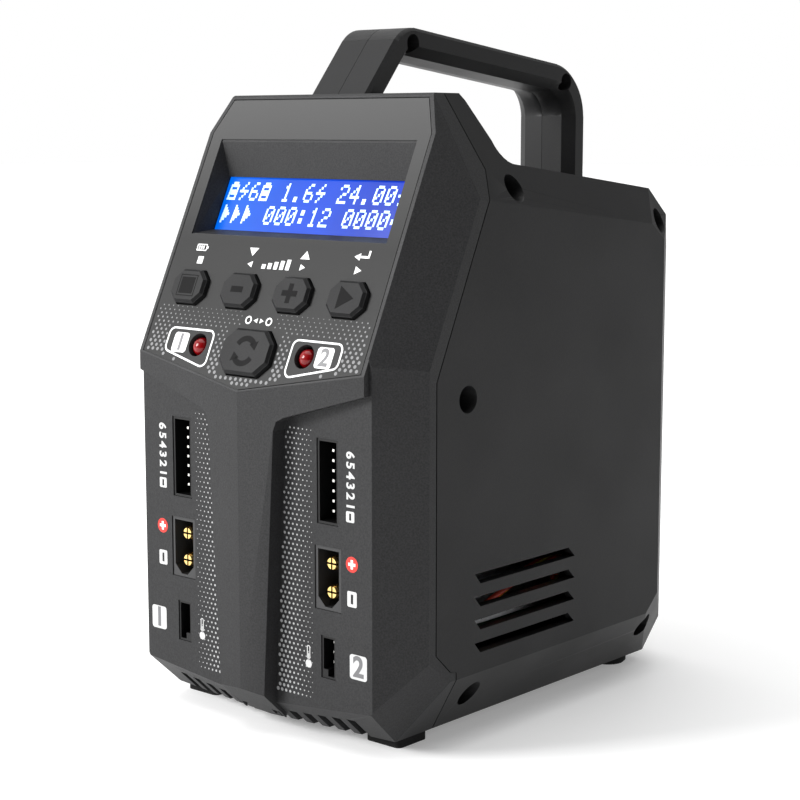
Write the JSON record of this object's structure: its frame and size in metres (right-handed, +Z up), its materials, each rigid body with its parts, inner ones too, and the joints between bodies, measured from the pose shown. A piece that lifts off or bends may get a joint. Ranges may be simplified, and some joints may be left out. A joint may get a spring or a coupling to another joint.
{
  "type": "balance battery charger",
  "caption": "Upright balance charger for model batteries with a sloping display and key panel, socket columns, rear fan and a carry handle.",
  "frame": {"origin": "middle of the footprint, under the feet", "axes": "+X to the charger's own left as it faces forward (the viewer's right from the front), +Y to the rear, +Z up; the display and sockets face -Y"},
  "size_m": [0.101, 0.133, 0.1783],
  "materials": {
    "case_dark": "fine moulded grain",
    "label_grey": "satin printed film",
    "key_grey": "satin",
    "black_plastic": "semi-matt",
    "display_blue": "lit liquid-crystal window",
    "light_guide": "clear diffuser",
    "lamp_red": "tinted lens",
    "board_green": "solder mask",
    "tin": "tinned pins",
    "gold": "gold-plated contacts",
    "steel_dark": "blackened screws",
    "steel": "zinc-plated",
    "yellow_nylon": "nylon connector",
    "core_tape": "ferrite core under yellow tape",
    "sleeve_blue": "shrink sleeve",
    "copper": "enamelled winding",
    "alloy": "extruded",
    "lead_red": "cable insulation",
    "lead_blue": "cable insulation",
    "rubber_black": "soft"
  },
  "bodies": {
    "charger": {"front_casing": "case_dark", "fascia_label": "label_grey", "lcd_bezel": "black_plastic", "lcd_glass": "display_blue", "lcd_backlight": "light_guide", "lcd_board": "board_green", "tact_switches": "steel", "led_a": "lamp_red", "led_b": "lamp_red", "control_board": "board_green", "board_screws": "steel", "connector_board": "board_green", "balance_socket_a": "black_plastic", "balance_socket_b": "black_plastic", "balance_pins_a": "tin", "balance_pins_b": "tin", "power_socket_a": "black_plastic", "power_socket_b": "black_plastic", "power_pins_a": "gold", "power_pins_b": "gold", "sensor_socket_a": "black_plastic", "sensor_socket_b": "black_plastic", "sensor_pins_a": "tin", "sensor_pins_b": "tin", "right_shell": "case_dark", "left_shell": "case_dark", "shell_screws": "steel_dark", "rear_panel": "case_dark", "fan_frame": "black_plastic", "fan_screws": "steel", "ac_inlet": "black_plastic", "ac_pins": "tin", "dc_inlet": "yellow_nylon", "dc_pins": "gold", "main_board": "board_green", "transformer": "core_tape", "capacitors": "sleeve_blue", "inductors": "copper", "heatsink_left": "alloy", "heatsink_right": "alloy", "mains_lead_live": "lead_red", "mains_lead_neutral": "lead_blue", "foot_front_left": "rubber_black", "foot_front_right": "rubber_black", "foot_rear_left": "rubber_black", "foot_rear_right": "rubber_black"},
    "button_stop": {"button_stop": "key_grey"},
    "button_minus": {"button_minus": "key_grey"},
    "button_plus": {"button_plus": "key_grey"},
    "button_start": {"button_start": "key_grey"},
    "button_channel": {"button_channel": "key_grey"},
    "fan": {"fan_rotor": "black_plastic"}
  },
  "joints": [
    {"name": "stop_press", "type": "slide", "parent": "charger", "child": "button_stop", "axis": [0, 0.9074, -0.4202], "range_m": [0, 0.0008], "stiffness_N_per_m": 400},
    {"name": "minus_press", "type": "slide", "parent": "charger", "child": "button_minus", "axis": [0, 0.9074, -0.4202], "range_m": [0, 0.0008], "stiffness_N_per_m": 400},
    {"name": "plus_press", "type": "slide", "parent": "charger", "child": "button_plus", "axis": [0, 0.9074, -0.4202], "range_m": [0, 0.0008], "stiffness_N_per_m": 400},
    {"name": "start_press", "type": "slide", "parent": "charger", "child": "button_start", "axis": [0, 0.9074, -0.4202], "range_m": [0, 0.0008], "stiffness_N_per_m": 400},
    {"name": "channel_press", "type": "slide", "parent": "charger", "child": "button_channel", "axis": [0, 0.9074, -0.4202], "range_m": [0, 0.0008], "stiffness_N_per_m": 400},
    {"name": "fan_spin", "type": "hinge", "parent": "charger", "child": "fan", "pos_m": [0, 0.053, 0.084], "axis": [0, 1, 0], "continuous": true}
  ]
}
